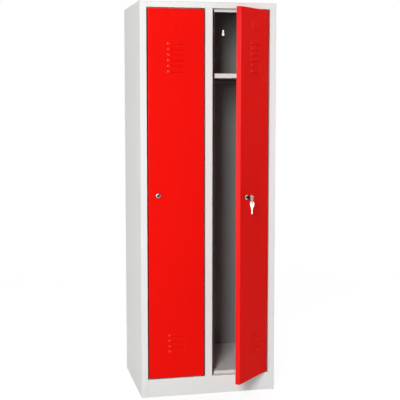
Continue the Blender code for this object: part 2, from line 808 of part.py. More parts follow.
def key(name, nickel, parent, location, rotation):
    """Flat key along +Y from its shoulder: a blade behind and an oval bow in front."""
    half = KEY_BLADE_WIDTH / 2
    wide = KEY_BOW_WIDTH / 2
    long = KEY_BOW_LENGTH / 2
    neck = math.asin(half / wide)
    sweep = 2 * (math.pi - neck)
    angles = [-math.pi / 2 + neck + sweep * step / BOW_STEPS for step in range(BOW_STEPS + 1)]
    bow = [(wide * math.cos(a), long + long * math.sin(a)) for a in angles]
    tip = [
        (-half, half - KEY_BLADE_LENGTH),
        (0, -KEY_BLADE_LENGTH),
        (half, half - KEY_BLADE_LENGTH),
    ]
    shape = prism(bow + tip, KEY_THICK, "Z")
    bmesh.ops.translate(shape, verts=shape.verts, vec=(0, 0, -KEY_THICK / 2))
    item = piece(name, shape, nickel, parent, location, rotation)
    drill = prism(polygon(KEY_HOLE_RADIUS, ROUND_STEPS), KEY_THICK + 2 * REACH_PAST, "Z")
    along = KEY_BOW_LENGTH - KEY_HOLE_EDGE
    bmesh.ops.translate(drill, verts=drill.verts, vec=(0, along, -KEY_THICK / 2 - REACH_PAST))
    boolean(item, "DIFFERENCE", f"{name}_hole", drill, parent, location, rotation)


def key_set(lock, paints):
    """Key in the right lock, with a spare that hangs from it on a wire ring."""
    nickel = paints["nickel"]
    # The bow stands upright in the lock axis: key +Y points out of the door, its faces sideways.
    key("door_key", nickel, lock, (0, 0, key_shoulder), (90, 0, 90))
    ring_axis = link("key_ring_pivot", None, lock, (0, -ring_slack, key_hole))
    wire = [
        (RING_RADIUS + RING_WIRE_RADIUS * c, RING_WIRE_RADIUS * s)
        for c, s in polygon(1.0, WIRE_STEPS)
    ]
    piece("key_ring", turned(wire, True), nickel, ring_axis, (0, -RING_RADIUS, 0))
    spare_axis = link("spare_key_pivot", None, ring_axis, (0, -2 * RING_RADIUS, 0))
    drop = ring_slack + KEY_BOW_LENGTH - KEY_HOLE_EDGE
    key("spare_key", nickel, spare_axis, (0, -drop, 0), (0, 90, 0))


def build():
    clear_scene()
    grey = finish("light_grey_powder_coat", (0.66, 0.68, 0.66), 0.45, 0.0)
    paints = {
        "red": finish("red_powder_coat", (0.66, 0.010, 0.008), 0.38, 0.0),
        "chrome": finish("polished_chrome", (0.75, 0.75, 0.74), 0.15, 1.0),
        "zinc": finish("bright_zinc_plate", (0.60, 0.61, 0.62), 0.35, 1.0),
        "nickel": finish("nickel_plate", (0.78, 0.76, 0.72), 0.22, 1.0),
        "nylon": finish("natural_nylon", (0.70, 0.68, 0.62), 0.5, 0.0),
        "rubber": finish("black_rubber", (0.012, 0.012, 0.012), 0.8, 0.0),
    }
    side_panels(grey)
    centre_post(grey)
    door_stops(grey, paints["rubber"])
    front_rails(grey)
    top_panel(grey)
    back_panel(grey)
    raised_floor(grey)
    centre_partition(grey)
    hat_shelves(grey)
    coat_rails(paints["chrome"], paints["zinc"])
    door("left", 0.0, paints)
    key_set(door("right", RIGHT_OPEN, paints), paints)


build()
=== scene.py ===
import json
import math

import bmesh
import bpy
import numpy as np
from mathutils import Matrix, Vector


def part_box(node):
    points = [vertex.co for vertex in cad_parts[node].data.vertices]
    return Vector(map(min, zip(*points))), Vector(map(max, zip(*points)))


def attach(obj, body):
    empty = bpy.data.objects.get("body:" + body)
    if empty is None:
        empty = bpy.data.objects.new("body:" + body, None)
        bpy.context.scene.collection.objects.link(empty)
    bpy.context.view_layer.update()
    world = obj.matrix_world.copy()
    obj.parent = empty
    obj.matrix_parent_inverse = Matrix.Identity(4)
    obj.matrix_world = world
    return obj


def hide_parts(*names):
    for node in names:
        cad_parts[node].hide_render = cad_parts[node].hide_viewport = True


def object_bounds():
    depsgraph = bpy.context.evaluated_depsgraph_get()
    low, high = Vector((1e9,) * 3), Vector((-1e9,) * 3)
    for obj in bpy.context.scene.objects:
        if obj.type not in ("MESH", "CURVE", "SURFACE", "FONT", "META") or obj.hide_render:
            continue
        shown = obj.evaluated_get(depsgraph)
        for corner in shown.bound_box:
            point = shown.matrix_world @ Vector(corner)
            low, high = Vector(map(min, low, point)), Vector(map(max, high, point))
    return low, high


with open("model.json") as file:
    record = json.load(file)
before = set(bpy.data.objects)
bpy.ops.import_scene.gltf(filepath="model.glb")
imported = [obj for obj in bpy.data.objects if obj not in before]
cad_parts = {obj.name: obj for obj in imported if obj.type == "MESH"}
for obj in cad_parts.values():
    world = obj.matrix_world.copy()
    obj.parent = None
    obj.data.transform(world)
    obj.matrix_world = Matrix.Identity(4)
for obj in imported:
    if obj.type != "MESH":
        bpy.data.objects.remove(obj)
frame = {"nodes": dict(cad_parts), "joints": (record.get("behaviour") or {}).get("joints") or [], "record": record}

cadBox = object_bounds()
cadLow, cadHigh = cadBox
nodes = frame["nodes"]
joints = {joint["name"]: joint for joint in frame["joints"]}
slotOf = {row["node"]: row["material_slot"] for row in frame["record"]["subparts"]}
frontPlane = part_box("left_side_panel")[0].y  # the cabinet's front, without the open door
sides = ("left", "right")
print("frame loaded:", len(nodes), "nodes")


# shader helpers: a Wire is one output socket, and arithmetic on it adds Math nodes

class Wire:
    def __init__(self, graph, socket):
        self.graph, self.socket = graph, socket

    def __add__(self, other):
        return self.graph.math("ADD", self, other)

    def __radd__(self, other):
        return self.graph.math("ADD", other, self)

    def __sub__(self, other):
        return self.graph.math("SUBTRACT", self, other)

    def __rsub__(self, other):
        return self.graph.math("SUBTRACT", other, self)

    def __mul__(self, other):
        return self.graph.math("MULTIPLY", self, other)

    def __rmul__(self, other):
        return self.graph.math("MULTIPLY", other, self)

    def __truediv__(self, other):
        return self.graph.math("DIVIDE", self, other)

    def __rtruediv__(self, other):
        return self.graph.math("DIVIDE", other, self)

    def __pow__(self, other):
        return self.graph.math("POWER", self, other)

    def __rpow__(self, other):
        return self.graph.math("POWER", other, self)


class Graph:  # a node tree that grows by add
    def __init__(self, tree):
        self.tree = tree

    def plug(self, socket, value):  # a Wire is linked, anything else is set
        if isinstance(value, Wire):
            self.tree.links.new(value.socket, socket)
        else:
            socket.default_value = value

    def add(self, kind, settings=None, sockets=None, output=0):  # settings first, then sockets
        node = self.tree.nodes.new(kind)
        for key, value in (settings or {}).items():
            setattr(node, key, value)
        for key, value in (sockets or {}).items():
            self.plug(node.inputs[key], value)
        return Wire(self, node.outputs[output])

    def math(self, operation, first, second=0.0):
        return self.add("ShaderNodeMath", {"operation": operation}, {0: first, 1: second})

    def step(self, value, low, high):  # smooth rise from 0 at low to 1 at high
        settings = {"interpolation_type": "SMOOTHSTEP"}
        return self.add("ShaderNodeMapRange", settings, {"Value": value, "From Min": low, "From Max": high})

    def parts(self, vector):  # x, y and z of a vector
        return [self.add("ShaderNodeSeparateXYZ", None, {"Vector": vector}, part) for part in range(3)]


class Finish(Graph):  # one Principled material and the nodes that feed it
    fed = {
        "colour": "Base Color", "rough": "Roughness", "normal": "Normal", "alpha": "Alpha",
        "lacquer": "Coat Weight",
    }

    def __init__(self, name, constants):
        self.material = bpy.data.materials.new(name)
        self.material.use_nodes = True
        super().__init__(self.material.node_tree)
        self.shader = self.tree.nodes["Principled BSDF"]
        for socketName, value in constants.items():
            self.shader.inputs[socketName].default_value = value

    def place(self):  # object coordinates
        return self.add("ShaderNodeTexCoord", output=3)

    def mark(self, name):  # a value written on the piece's own points
        return self.add("ShaderNodeAttribute", {"attribute_name": name}, None, 2)

    def noise(self, spot, scale, detail, rough=0.5):
        sockets = {"Vector": spot, "Scale": scale, "Detail": detail, "Roughness": rough}
        return self.add("ShaderNodeTexNoise", None, sockets)

    def stretched(self, spot, scale):  # the same coordinates, finer along some axes
        return self.add("ShaderNodeMapping", None, {"Vector": spot, "Scale": scale})

    def blend(self, factor, first, second):  # colours, through the colour sockets of a Mix node
        return self.add("ShaderNodeMix", {"data_type": "RGBA"}, {0: factor, 6: first, 7: second}, 2)

    def bump(self, height, distance, strength):
        sockets = {"Height": height, "Distance": distance, "Strength": strength}
        return self.add("ShaderNodeBump", None, sockets)

    def feed(self, **wires):
        for key, wire in wires.items():
            self.plug(self.shader.inputs[self.fed[key]], wire)
        return self.material


def shade(colour, factor):
    # each channel times the factor, at most 1, and opaque
    return (*[min(1.0, channel * factor) for channel in colour], 1.0)


# paints: a noise is its scale, detail and roughness, and a tone is a share of the paint's own colour

greyPaint = {"colour": (0.655, 0.665, 0.65), "rough": 0.44, "specular": 0.22}
redPaint = {"colour": (0.70, 0.0048, 0.0026), "rough": 0.46, "specular": 0.02}
coatLook = {
    "drift": (2.6, 3.0), "driftTones": (0.955, 1.035),
    "grime": (38.0, 5.0), "grimeTop": 0.16, "grimeShare": 0.14, "grimeTone": 0.42,
    "scuff": (3.0, 6.0, 0.7), "scuffStretch": (9.0, 9.0, 160.0), "scuffEdges": (0.66, 0.8),
    "scuffShare": 0.1, "scuffTone": 1.3,
    "peel": (430.0, 2.0), "grain": (1700.0, 2.0), "peelShare": 0.7, "grainShare": 0.3,
    "lift": 0.0004, "liftShare": 0.55, "lacquerRough": 0.3,
    "patches": (24.0, 4.0), "polish": 0.07, "patchRough": 0.1, "scuffRough": 0.12, "grainRough": 0.04,
    # painted shade in the louvre mouths: where they are marked, the red is darkened to this share of itself
    "mouthEdges": (0.4, 0.6), "mouthTone": 0.45,
}
# painted shade for the compartments' inner faces: where the mask is 1 the grey is darkened to this share of itself
insideShadeLook = {"skin": (0.0003, 0.0007), "behindFront": (0.044, 0.06), "tone": 0.38}
weldLook = {
    "rows": {"sides": (1, 0.25), "back": (0, 0.315)},  # axis across the rows, and how far out the fold is
    "pitch": 0.118, "inset": 0.011, "dent": (0.0026, 0.0046), "ring": (0.0014, 0.0032),
    "depth": 1.6, "ringShare": 0.4, "ringTone": 0.8,
}


def innerFaces(coat, place, look):
    # where shade is painted: 1 more than a skin inside the sides, the back and the top and well behind the front,
    # 0 elsewhere
    x, y, z = place
    mask = coat.step(y, *[frontPlane + depth for depth in look["behindFront"]])
    for depth in (cadHigh.x - coat.math("ABSOLUTE", x), cadHigh.y - y, cadHigh.z - z):
        mask = mask * coat.step(depth, *look["skin"])
    return mask


def spotWelds(coat, place, rows, look):
    # squared distance to the nearest weld of an upright row, through smooth steps: a dent, and a ring in it
    axis, fold = look["rows"][rows]
    along = (coat.math("FRACT", place[2] / look["pitch"]) - 0.5) * look["pitch"]
    across = coat.math("ABSOLUTE", place[axis]) - (fold - look["inset"])
    reach = along ** 2.0 + across ** 2.0
    dent = 1 - coat.step(reach, *[edge ** 2 for edge in look["dent"]])
    ring = dent * coat.step(reach, *[edge ** 2 for edge in look["ring"]])
    return dent, ring


def powderCoat(name, paint, welds=None, mouths=False, inside=False):
    # the colour drifts by a few percent, grime gathers low down, scuffs run level, a fine peel lifts the coat
    look, base = coatLook, paint["colour"]
    coat = Finish(name, {"Specular IOR Level": paint["specular"], "Coat Roughness": look["lacquerRough"]})
    spot = coat.place()
    place = coat.parts(spot)
    colour = coat.blend(coat.noise(spot, *look["drift"]), *[shade(base, tone) for tone in look["driftTones"]])
    low = 1 - coat.step(place[2], 0.0, look["grimeTop"])
    grime = low * coat.noise(spot, *look["grime"]) * look["grimeShare"]
    colour = coat.blend(grime, colour, shade(base, look["grimeTone"]))
    level = coat.stretched(spot, look["scuffStretch"])
    scuff = coat.step(coat.noise(level, *look["scuff"]), *look["scuffEdges"])
    colour = coat.blend(scuff * look["scuffShare"], colour, shade(base, look["scuffTone"]))
    grain = coat.noise(spot, *look["grain"])
    height = coat.noise(spot, *look["peel"]) * look["peelShare"] + grain * look["grainShare"]
    rough = paint["rough"] - look["polish"] + coat.noise(spot, *look["patches"]) * look["patchRough"]
    rough = rough + scuff * look["scuffRough"] + grain * look["grainRough"]
    if inside:  # painted shade: the compartments' inner faces are darkened to a deeper grey, standing in for the dim light inside
        colour = coat.blend(innerFaces(coat, place, insideShadeLook), colour, shade(base, insideShadeLook["tone"]))
    if welds:  # spot welds near the front and rear folds
        dent, ring = spotWelds(coat, place, welds, weldLook)
        height = height - dent * weldLook["depth"]
        colour = coat.blend(ring * weldLook["ringShare"], colour, shade(base, weldLook["ringTone"]))
    if mouths:  # painted shade: the louvre mouths, closed by the sheet, are darkened to stand in for the shade in their openings; glossy bends as marked on the door sheets
        mouth = coat.step(coat.mark("mouth"), *look["mouthEdges"])
        colour = coat.blend(mouth, colour, shade(base, look["mouthTone"]))
        coat.feed(lacquer=coat.mark("gloss"))
    return coat.feed(colour=colour, rough=rough, normal=coat.bump(height, look["lift"], look["liftShare"]))


# platings and mouldings

metals = {
    "chromePlate": {"colour": (0.74, 0.74, 0.73), "rough": 0.1, "streak": (1.0, 1.0, 14.0), "cloud": 0.3},
    "zincPlate": {"colour": (0.62, 0.63, 0.64), "rough": 0.27, "streak": (1.0, 1.0, 9.0), "cloud": 0.8},
    "nickelPlate": {"colour": (0.83, 0.81, 0.77), "rough": 0.2, "streak": (9.0, 9.0, 1.0), "cloud": 0.5},
    # painted shade: the lock plug is coloured dark brown-grey to stand in for the shade and dark reflection in the
    # lock's face
    "darkPlug": {"colour": (0.2, 0.185, 0.16), "rough": 0.36, "streak": (1.0, 1.0, 9.0), "cloud": 0.8},
    # painted shade: the coat rail is coloured near black to stand in for the shade under the shelf
    "darkRail": {"colour": (0.16, 0.16, 0.165), "rough": 0.42, "streak": (9.0, 1.0, 1.0), "cloud": 0.6},
}
plateLook = {
    "lines": (60.0, 3.0), "clouds": (90.0, 4.0), "cloudTones": (1.05, 0.72), "tarnishTone": 0.04,
    "marks": (420.0, 3.0), "markEdges": (0.62, 0.75), "lineRough": 0.1, "markRough": 0.08,
    "lift": 0.00003, "liftShare": 0.5,
}
mouldings = {
    "darkNylon": {"colour": (0.03, 0.03, 0.031), "rough": 0.5, "grain": (900.0, 3.0)},
    "blackRubber": {"colour": (0.012, 0.012, 0.012), "rough": 0.78, "grain": (1400.0, 3.0)},
}
mouldLook = {
    "specular": 0.4, "drift": (30.0, 3.0), "driftTones": (0.86, 1.12), "polish": 0.06, "grainRough": 0.12,
    "lift": 0.00008, "liftShare": 0.6,
}


def plated(name):
    # metal with fine drawn lines along one axis, soft clouds, small handling marks, and painted shade where
    # marked: the colour darkened towards near black
    metal, look = metals[name], plateLook
    coat = Finish(name, {"Metallic": 1.0})
    spot = coat.place()
    lines = coat.noise(coat.stretched(spot, metal["streak"]), *look["lines"])
    clouds = coat.noise(spot, *look["clouds"]) * metal["cloud"]
    tone = coat.blend(clouds, *[shade(metal["colour"], tone) for tone in look["cloudTones"]])
    tone = coat.blend(coat.mark("tarnish"), tone, shade(metal["colour"], look["tarnishTone"]))
    marks = coat.step(coat.noise(spot, *look["marks"]), *look["markEdges"])
    rough = metal["rough"] + lines * look["lineRough"] + marks * look["markRough"]
    return coat.feed(colour=tone, rough=rough, normal=coat.bump(lines, look["lift"], look["liftShare"]))


def moulded(name):
    # a matt grain and a little tone drift
    stuff, look = mouldings[name], mouldLook
    coat = Finish(name, {"Specular IOR Level": look["specular"]})
    spot = coat.place()
    grain = coat.noise(spot, *stuff["grain"])
    drift = coat.noise(spot, *look["drift"])
    tone = coat.blend(drift, *[shade(stuff["colour"], tone) for tone in look["driftTones"]])
    rough = stuff["rough"] - look["polish"] + grain * look["grainRough"]
    return coat.feed(colour=tone, rough=rough, normal=coat.bump(grain, look["lift"], look["liftShare"]))


finishes = {
    "body_paint": powderCoat("lightGreyCoat", greyPaint),
    "door_paint": powderCoat("redCoat", redPaint, mouths=True),
    "chrome_plate": plated("chromePlate"),
    "zinc_plate": plated("zincPlate"),
    "nickel_plate": plated("nickelPlate"),
    "bush_nylon": moulded("darkNylon"),
    "buffer_rubber": moulded("blackRubber"),
}
sidePaint = powderCoat("lightGreySide", greyPaint, "sides", inside=True)
backPaint = powderCoat("lightGreyBack", greyPaint, "back", inside=True)
wallPaint = powderCoat("lightGreyWall", greyPaint, inside=True)
plugShadePlate = plated("darkPlug")
railShadePlate = plated("darkRail")
# nodes whose coat differs from their slot's
ownCoats = {"back_panel": backPaint, "top_panel": wallPaint, "centre_partition": wallPaint}
for side in sides:
    ownCoats[f"{side}_side_panel"] = sidePaint
    ownCoats[f"{side}_lock_plug"] = plugShadePlate
    ownCoats[f"{side}_coat_rail"] = railShadePlate
print("finishes made:", len({*finishes.values(), *ownCoats.values()}))


# carried over CAD sheets: triangles welded, sheet edges eased, folds shaded smooth

sheetLook = {
    "weld": 0.00002, "easeSteps": 2, "foldAngle": 40.0, "faceLead": 100,
    "easing": {
        "body_paint": 0.0003, "door_paint": 0.0003, "zinc_plate": 0.0002, "chrome_plate": 0.0002,
        "nickel_plate": 0.0002, "bush_nylon": 0.0002, "buffer_rubber": 0.0005,
    },
}


def evenNormals(piece):
    # a corner's normal is weighed by face area, so flat sheet stays flat beside its folds
    even = piece.modifiers.new("even", "WEIGHTED_NORMAL")
    even.weight, even.keep_sharp = sheetLook["faceLead"], True


for name, node in nodes.items():
    slot = slotOf[name]
    node.data.materials.clear()
    node.data.materials.append(ownCoats.get(name, finishes[slot]))
    node.data.polygons.foreach_set("use_smooth", np.ones(len(node.data.polygons), bool))
    weld = node.modifiers.new("weld", "WELD")
    weld.merge_threshold = sheetLook["weld"]
    ease = node.modifiers.new("ease", "BEVEL")
    ease.width, ease.segments, ease.limit_method = sheetLook["easing"][slot], sheetLook["easeSteps"], "ANGLE"
    ease.angle_limit = math.radians(sheetLook["foldAngle"])
    ease.use_clamp_overlap = True
    evenNormals(node)
print("sheets dressed")


# mesh helpers

mergeReach = 1e-7  # points of a new piece closer than this are one


def lattice(rows, columns, wrapRows=False, wrapColumns=False, start=0):
    # quads of a grid numbered row by row
    index = start + np.arange(rows * columns).reshape(rows, columns)
    if wrapRows:
        index = np.vstack((index, index[:1]))
    if wrapColumns:
        index = np.hstack((index, index[:, :1]))
    return between(index).reshape(-1, 4)


def between(index):
    # the quad between each two neighbouring rows and columns of point numbers
    return np.stack((index[:-1, :-1], index[:-1, 1:], index[1:, 1:], index[1:, :-1]), -1)


def tube(rows, columns, start=0):
    # quads of a grid closed round its columns, and one face over each end
    ends = start, start + (rows - 1) * columns
    caps = [list(range(first, first + columns)) for first in ends]
    return lattice(rows, columns, False, True, start).tolist() + caps


def makePiece(name, points, faces, body, slot, stands, crease, marks=None):
    # points and faces become a closed mesh with outward faces, sharp where it turns by more than the crease
    mesh = bpy.data.meshes.new(name)
    mesh.from_pydata(points.tolist(), [], [list(map(int, face)) for face in faces])
    for label, values in (marks or {}).items():
        attribute = mesh.attributes.new(label, "FLOAT", "POINT")
        attribute.data.foreach_set("value", values.astype(np.float32))
    form = bmesh.new()
    form.from_mesh(mesh)
    bmesh.ops.remove_doubles(form, verts=form.verts, dist=mergeReach)
    bmesh.ops.recalc_face_normals(form, faces=form.faces)
    form.to_mesh(mesh)
    form.free()
    mesh.shade_smooth()
    mesh.set_sharp_from_angle(angle=math.radians(crease))
    mesh.materials.append(finishes[slot])
    piece = bpy.data.objects.new(name, mesh)
    bpy.context.scene.collection.objects.link(piece)
    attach(piece, body)
    evenNormals(piece)
    if stands:
        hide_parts(*stands)


def smoothRise(value, low, high):
    # 3 t squared less 2 t cubed, where t is the share of the way from low to high
    t = np.clip((value - low) / (high - low), 0.0, 1.0)
    return t * t * (3.0 - 2.0 * t)


def plateau(value, low, high, ramp):
    # 1 from low to high, with a smooth ramp down to 0 outside each
    return smoothRise(value, low - ramp, low) * (1 - smoothRise(value, high, high + ramp))


def arcPoints(centre, radius, first, last, count):
    # points on a circle, evenly from the first angle to the last in degrees
    angle = np.radians(np.linspace(first, last, count))
    return np.column_stack((centre[0] + radius * np.cos(angle), centre[1] + radius * np.sin(angle)))


def boxMiddle(name):
    # halfway between the two corners of a node's box
    return np.mean(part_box(name), axis=0)


# places on the doors

leftPivot = np.array(joints["left_door_swing"]["pos_m"])
rightPivot = np.array(joints["right_door_swing"]["pos_m"])
lockPlace = np.array(joints["left_lock_turn"]["pos_m"])
openAngle = -math.radians(joints["right_door_swing"]["range_deg"][0])
doorAlong = np.array([math.cos(openAngle), math.sin(openAngle), 0.0])  # directions of the open right door
doorOut = np.array([math.sin(openAngle), -math.cos(openAngle), 0.0])
upward = np.array([0.0, 0.0, 1.0])


def hang(points, side):
    # shapes are worked out on the shut left door; the right one is that turned about its own pivot
    if side == "left":
        return points
    return (points - leftPivot) @ np.stack((doorAlong, -doorOut, upward)) + rightPivot


# doors

doorLook = {
    "sideGap": 0.0028, "endGap": 0.0013, "sheet": 0.001, "lip": 0.012,
    "frontRound": 0.0026, "rearRound": 0.0014, "foldSteps": 6, "lockHole": 0.007, "pinHole": 0.0035,
    "louvreHalf": 0.043, "louvreHeight": 0.0125, "louvreRise": 0.0042, "louvreEnd": 0.0135,
    "louvrePitch": 0.025, "upperRows": 6, "upperDrop": 0.152, "lowerRows": 4, "lowerLift": 0.125,
    "lipSteps": (-0.0011, -0.00105, -0.00055, -0.0005, -0.00025), "lipSlack": 1.1, "lipFace": 0.97,
    "labelHalf": 0.025, "labelHeight": 0.036, "labelDrop": 0.076, "labelBar": 0.0035, "labelRise": 0.0018,
    "ramp": 0.001, "warp": 0.00022, "warpWaves": 7.3,
    "rows": 48, "columns": 18, "slopeSteps": 9, "endSteps": 10,
    "clear": 0.002, "apart": 0.0002, "atEnd": 0.001,
    "mouthFrom": 0.3, "bendFrom": 0.05, "bendSpan": 0.49, "barFrom": 0.02,
    "barGloss": 1.0, "edgeGloss": 0.27, "gloss": {"left": 0.26, "right": 0.14}, "crease": 50.0,
}
bothSides = np.array([-1, 1])


def doorRows(ends, look):
    # heights of the grid lines, each with its place on a louvre's section and whether it borders the mouth;
    # the section is the sheet's edge under the mouth, the lip over it, and half a cosine back to the flat
    half, ramp, bar = look["louvreHeight"] / 2, look["ramp"], look["labelBar"]
    lip = look["sheet"] / look["louvreRise"]
    upper = ends[1] - look["upperDrop"] - look["louvrePitch"] * np.arange(look["upperRows"])
    lower = ends[0] + look["lowerLift"] + look["louvrePitch"] * np.arange(look["lowerRows"])
    centres = np.concatenate((upper, lower))
    share = np.linspace(0.0, 1.0, look["slopeSteps"])
    lipSection = [0.0, 0.0, 1 - look["lipSlack"] * lip, 1 - lip, look["lipFace"]]
    offsets = np.concatenate((look["lipSteps"], share * look["louvreHeight"]))
    section = np.concatenate((lipSection, 0.5 + 0.5 * np.cos(np.pi * share)))
    mouth = np.concatenate(([0, 1, 1, 0, 0], np.zeros(len(share))))
    bands = np.stack(np.broadcast_arrays(centres[:, None] - half + offsets, section, mouth), -1)
    labelZ = ends[1] - look["labelDrop"] + look["labelHeight"] / 2 * bothSides
    plain = np.concatenate((
        np.linspace(ends[0] + look["frontRound"], ends[1] - look["frontRound"], look["rows"]),
        labelZ[0] + np.array([-ramp, 0.0, bar, bar + ramp]), labelZ[1] + np.array([-ramp, 0.0, ramp]),
        lockPlace[2] + look["lockHole"] * bothSides,
    ))
    plain = plain[np.abs(plain[:, None] - centres).min(1) > half + look["clear"]]
    rows = np.concatenate((bands.reshape(-1, 3), np.column_stack((plain, np.zeros((len(plain), 2))))))
    return rows[np.argsort(rows[:, 0])], labelZ


def doorColumns(ends, look):
    # grid lines across: even ones, closer ones on the louvres' ends, and those beside bars and holes
    middle, bar, ramp = ends.mean(), look["labelBar"], look["ramp"]
    curve = look["louvreEnd"] * np.linspace(0, 1, look["endSteps"])
    ribs = np.array([-ramp, 0.0, bar, bar + ramp])
    columns = np.unique(np.round(np.concatenate((
        np.linspace(ends[0] + look["frontRound"], ends[1] - look["frontRound"], look["columns"]),
        middle - look["louvreHalf"] + curve, middle + look["louvreHalf"] - curve,
        middle - look["labelHalf"] + ribs, middle + look["labelHalf"] - ribs,
        lockPlace[0] + look["lockHole"] * bothSides, leftPivot[0] + look["pinHole"] * bothSides,
    )), 6))
    return columns[np.concatenate(([True], np.diff(columns) > look["apart"]))]


def pressings(x, rows, labelZ, endsX, endsZ, look):
    # height over the flat: a louvre is its section times half a cosine at each end, the label frame is three
    # bars with sloping sides, and a slow sine keeps the sheet from lying dead flat; then the marks of louvre
    # mouths, where shade is painted, and of glossy bends
    z, section, mouthRow = rows.T
    aside, half, bar, ramp = np.abs(x - endsX.mean()), look["labelHalf"], look["labelBar"], look["ramp"]
    rounded = 0.5 - 0.5 * np.cos(np.pi * np.clip((look["louvreHalf"] - aside) / look["louvreEnd"], 0, 1))
    uprights = np.outer(plateau(z, *labelZ, ramp), plateau(aside, half - bar, half, ramp))
    foot = np.outer(plateau(z, labelZ[0], labelZ[0] + bar, ramp), 1 - smoothRise(aside, half, half + ramp))
    u, v = (x - endsX[0]) / np.ptp(endsX), (z - endsZ[0]) / np.ptp(endsZ)
    wave = np.outer(np.sin(look["warpWaves"] * v) * np.sin(np.pi * v), np.sin(np.pi * u))
    height = look["louvreRise"] * np.outer(section, rounded)
    height += look["labelRise"] * np.maximum(uprights, foot) + look["warp"] * wave
    height[[0, -1]] = 0.0
    height[:, [0, -1]] = 0.0
    mouth = np.outer(mouthRow, rounded > look["mouthFrom"])
    bends = np.outer(section > look["bendFrom"], np.abs(rounded - 0.5) < look["bendSpan"])
    gloss = np.maximum(bends, look["barGloss"] * (uprights > look["barFrom"]))
    return height, mouth.reshape(-1), gloss.reshape(-1)


def foldSection(rear, look):
    # the folded edge as reach past the sheet's border and depth: round the front, back past the pin's hole,
    # round the rear, in along the lip and forward again one sheet inside; then the numbers of the strips that
    # the hole goes through, outside and inside
    r, q, t = look["frontRound"], look["rearRound"], look["sheet"]
    turn = np.linspace(0, np.pi / 2, look["foldSteps"])[1:]
    near = max(leftPivot[1] - look["pinHole"], frontPlane + r + look["apart"])
    far = leftPivot[1] + look["pinHole"]
    reach = np.concatenate((
        r * np.sin(turn), [r, r], r - q * (1 - np.cos(turn)), [r - look["lip"]] * 2,
        [r - t] * 3, (r - t) * np.cos(turn[:-1]),
    ))
    depth = np.concatenate((
        frontPlane + r * (1 - np.cos(turn)), [near, far], rear - q + q * np.sin(turn), [rear, rear - t],
        [rear - t, far, near], frontPlane + t + (r - t) * (1 - np.sin(turn[:-1])),
    ))
    return reach, depth, len(turn) + 1, len(reach) - len(turn)


def holeWall(quads, behind):
    # quads that join the rim of a hole in one sheet to the points behind it
    edges = np.concatenate([quads[:, [k, (k + 1) % 4]] for k in range(4)])
    onward, backward = edges @ (len(behind), 1), edges @ (1, len(behind))
    rim = edges[~np.isin(onward, backward)]
    return np.column_stack((rim, behind[rim[:, 1]], behind[rim[:, 0]]))


def doorShell(look):
    # the pressed sheet on a grid in x and z, the same again one thickness behind, and a belt that carries the
    # border of the one round the folds and lips to that of the other, less the holes of lock and pins
    low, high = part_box("left_door_panel")
    endsX = np.array([low.x + look["sideGap"], high.x - look["sideGap"]])
    endsZ = np.array([low.z + look["endGap"], high.z - look["endGap"]])
    rows, labelZ = doorRows(endsZ, look)
    x, z = doorColumns(endsX, look), rows[:, 0]
    height, mouth, gloss = pressings(x, rows, labelZ, endsX, endsZ, look)
    gridX, gridZ = np.meshgrid(x, z)
    sheet = np.stack((gridX, frontPlane - height, gridZ), -1).reshape(-1, 3)
    count = len(sheet)
    number = np.arange(count).reshape(height.shape)
    border = np.concatenate((number[0], number[1:, -1], number[-1, -2::-1], number[-2:0:-1, 0]))
    outX, outZ = np.zeros((2, *height.shape))
    outX[:, 0], outX[:, -1], outZ[0], outZ[-1] = -1, 1, -1, 1
    outward = np.stack((outX, np.zeros(height.shape), outZ), -1).reshape(-1, 3)[border]
    reach, depth, pinOuter, pinInner = foldSection(high.y, look)
    rings = sheet[border] + outward * reach[:, None, None]
    rings[..., 1] = depth[:, None]
    points = np.concatenate((sheet, sheet + (0.0, look["sheet"], 0.0), rings.reshape(-1, 3)))
    ringNumber = np.arange(2 * count, len(points)).reshape(len(reach), -1)
    belt = np.vstack((border, ringNumber, border + count))
    belt = np.hstack((belt, belt[:, :1]))
    strips = between(belt)
    # the lock's hole goes through the sheet, the pins' through the folded ends
    sheetFaces = lattice(*height.shape)
    lockCut = (np.abs(points[sheetFaces].mean(1) - lockPlace)[:, [0, 2]] < look["lockHole"]).all(1)
    middle = points[strips[pinOuter]].mean(1)
    pinCut = np.abs(middle[:, 0] - leftPivot[0]) < look["pinHole"]
    pinCut &= np.abs(middle[:, 2:] - endsZ).min(1) < look["atEnd"]
    keep = np.ones(strips.shape[:2], bool)
    keep[[pinOuter, pinInner]] = ~pinCut
    behind = np.arange(len(points))
    behind[:count] += count
    behind[belt[pinOuter]], behind[belt[pinOuter + 1]] = belt[pinInner + 1], belt[pinInner]
    walls = [holeWall(quads, behind) for quads in (sheetFaces[lockCut], strips[pinOuter][pinCut])]
    faces = np.concatenate((sheetFaces[~lockCut], sheetFaces[~lockCut] + count, strips[keep], *walls))
    marks = {
        "mouth": np.concatenate((mouth, mouth, np.zeros(ringNumber.size))),
        "gloss": np.concatenate((gloss, np.zeros(count + ringNumber.size))),
        "edge": np.concatenate((np.zeros(2 * count), np.tile(outward[:, 0] < 0, len(reach)))),
    }
    return points, faces, marks


shellPoints, shellFaces, shellMarks = doorShell(doorLook)
for side in sides:
    gloss = shellMarks["gloss"] * doorLook["gloss"][side] + shellMarks["edge"] * doorLook["edgeGloss"]
    marks = {"mouth": shellMarks["mouth"], "gloss": gloss}
    makePiece(f"{side}DoorShell", hang(shellPoints, side), shellFaces, f"{side}_door", "door_paint",
              [f"{side}_door_panel"], doorLook["crease"], marks)
print("doors pressed:", len(shellFaces), "faces each")


# locks

